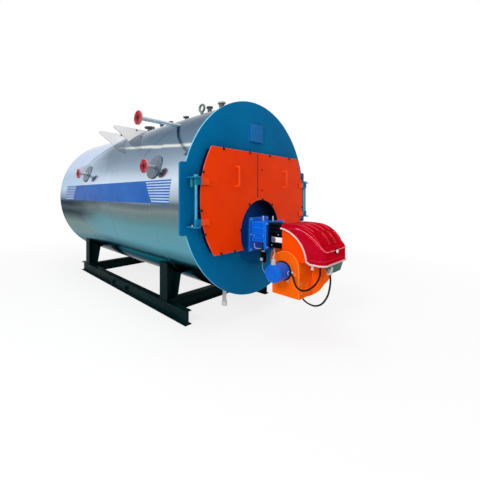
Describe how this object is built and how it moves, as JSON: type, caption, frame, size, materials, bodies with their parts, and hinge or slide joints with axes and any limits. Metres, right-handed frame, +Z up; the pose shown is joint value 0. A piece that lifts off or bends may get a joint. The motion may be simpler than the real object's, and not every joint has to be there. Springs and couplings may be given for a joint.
{
  "type": "industrial boiler",
  "caption": "Horizontal skid-mounted fire-tube steam boiler with polished cladding, hinged smokebox doors and a forced-draught burner.",
  "frame": {"origin": "on the floor under the middle of the boiler's box", "axes": "+Z up, +Y along the drum from the burner end to the rear, +X to the right seen from the burner end"},
  "size_m": [2.468, 4.766, 2.706],
  "materials": {
    "frame_paint": "satin, nearly black green paint",
    "cladding_steel": "polished stainless sheet",
    "front_paint": "satin blue paint",
    "boiler_steel": "sooty mill scale",
    "hinge_paint": "satin light blue paint",
    "door_paint": "satin orange paint",
    "burner_blue": "gloss blue enamel on a casting",
    "black_plastic": "moulded black housing",
    "burner_orange": "satin orange powder coat",
    "hood_red": "gloss red moulded cover",
    "tray_green": "moulded grey green tray",
    "conduit_black": "ribbed black conduit",
    "pipe_steel": "grey primer",
    "flange_paint": "red primer",
    "bracket_paint": "pale grey primer"
  },
  "bodies": {
    "boiler": {"skid_rails": "frame_paint", "skid_crossbeams": "frame_paint", "front_legs": "frame_paint", "rear_legs": "frame_paint", "cladding_front": "cladding_steel", "cladding_mid_front": "cladding_steel", "cladding_mid_rear": "cladding_steel", "cladding_rear": "cladding_steel", "front_plate": "front_paint", "smokebox": "front_paint", "tube_sheet": "boiler_steel", "fire_tubes": "boiler_steel", "furnace_cover": "front_paint", "hinge_lugs": "hinge_paint", "hinge_pins": "hinge_paint", "nameplate_holder": "front_paint", "burner_adaptor": "burner_blue", "control_box": "black_plastic", "burner_body": "burner_orange", "fan_inlet": "burner_orange", "fan_volute": "burner_orange", "fan_motor": "burner_blue", "burner_hood": "hood_red", "hood_tray": "tray_green", "pressure_switch": "black_plastic", "motor_conduit": "conduit_black", "supply_conduit": "conduit_black", "side_pipes": "pipe_steel", "side_flanges": "flange_paint", "rosettes": "pipe_steel", "platform_brackets": "bracket_paint", "steam_nozzle": "pipe_steel", "crown_nozzles": "pipe_steel", "front_lifting_eye": "pipe_steel", "rear_lifting_eye": "pipe_steel", "drain_pipe": "pipe_steel", "rear_plate": "front_paint", "rear_cover": "front_paint", "flue_outlet": "front_paint"},
    "left_door": {"left_door": "door_paint", "left_door_hinges": "hinge_paint", "left_door_handle": "door_paint"},
    "right_door": {"right_door": "door_paint", "right_door_hinges": "hinge_paint", "right_door_handle": "door_paint"}
  },
  "joints": [
    {"name": "left_door_hinge", "type": "hinge", "parent": "boiler", "child": "left_door", "pos_m": [-1, -1.559, 1.386], "axis": [0, 0, -1], "range_deg": [0, 120]},
    {"name": "right_door_hinge", "type": "hinge", "parent": "boiler", "child": "right_door", "pos_m": [1, -1.559, 1.386], "axis": [0, 0, 1], "range_deg": [0, 120]}
  ]
}
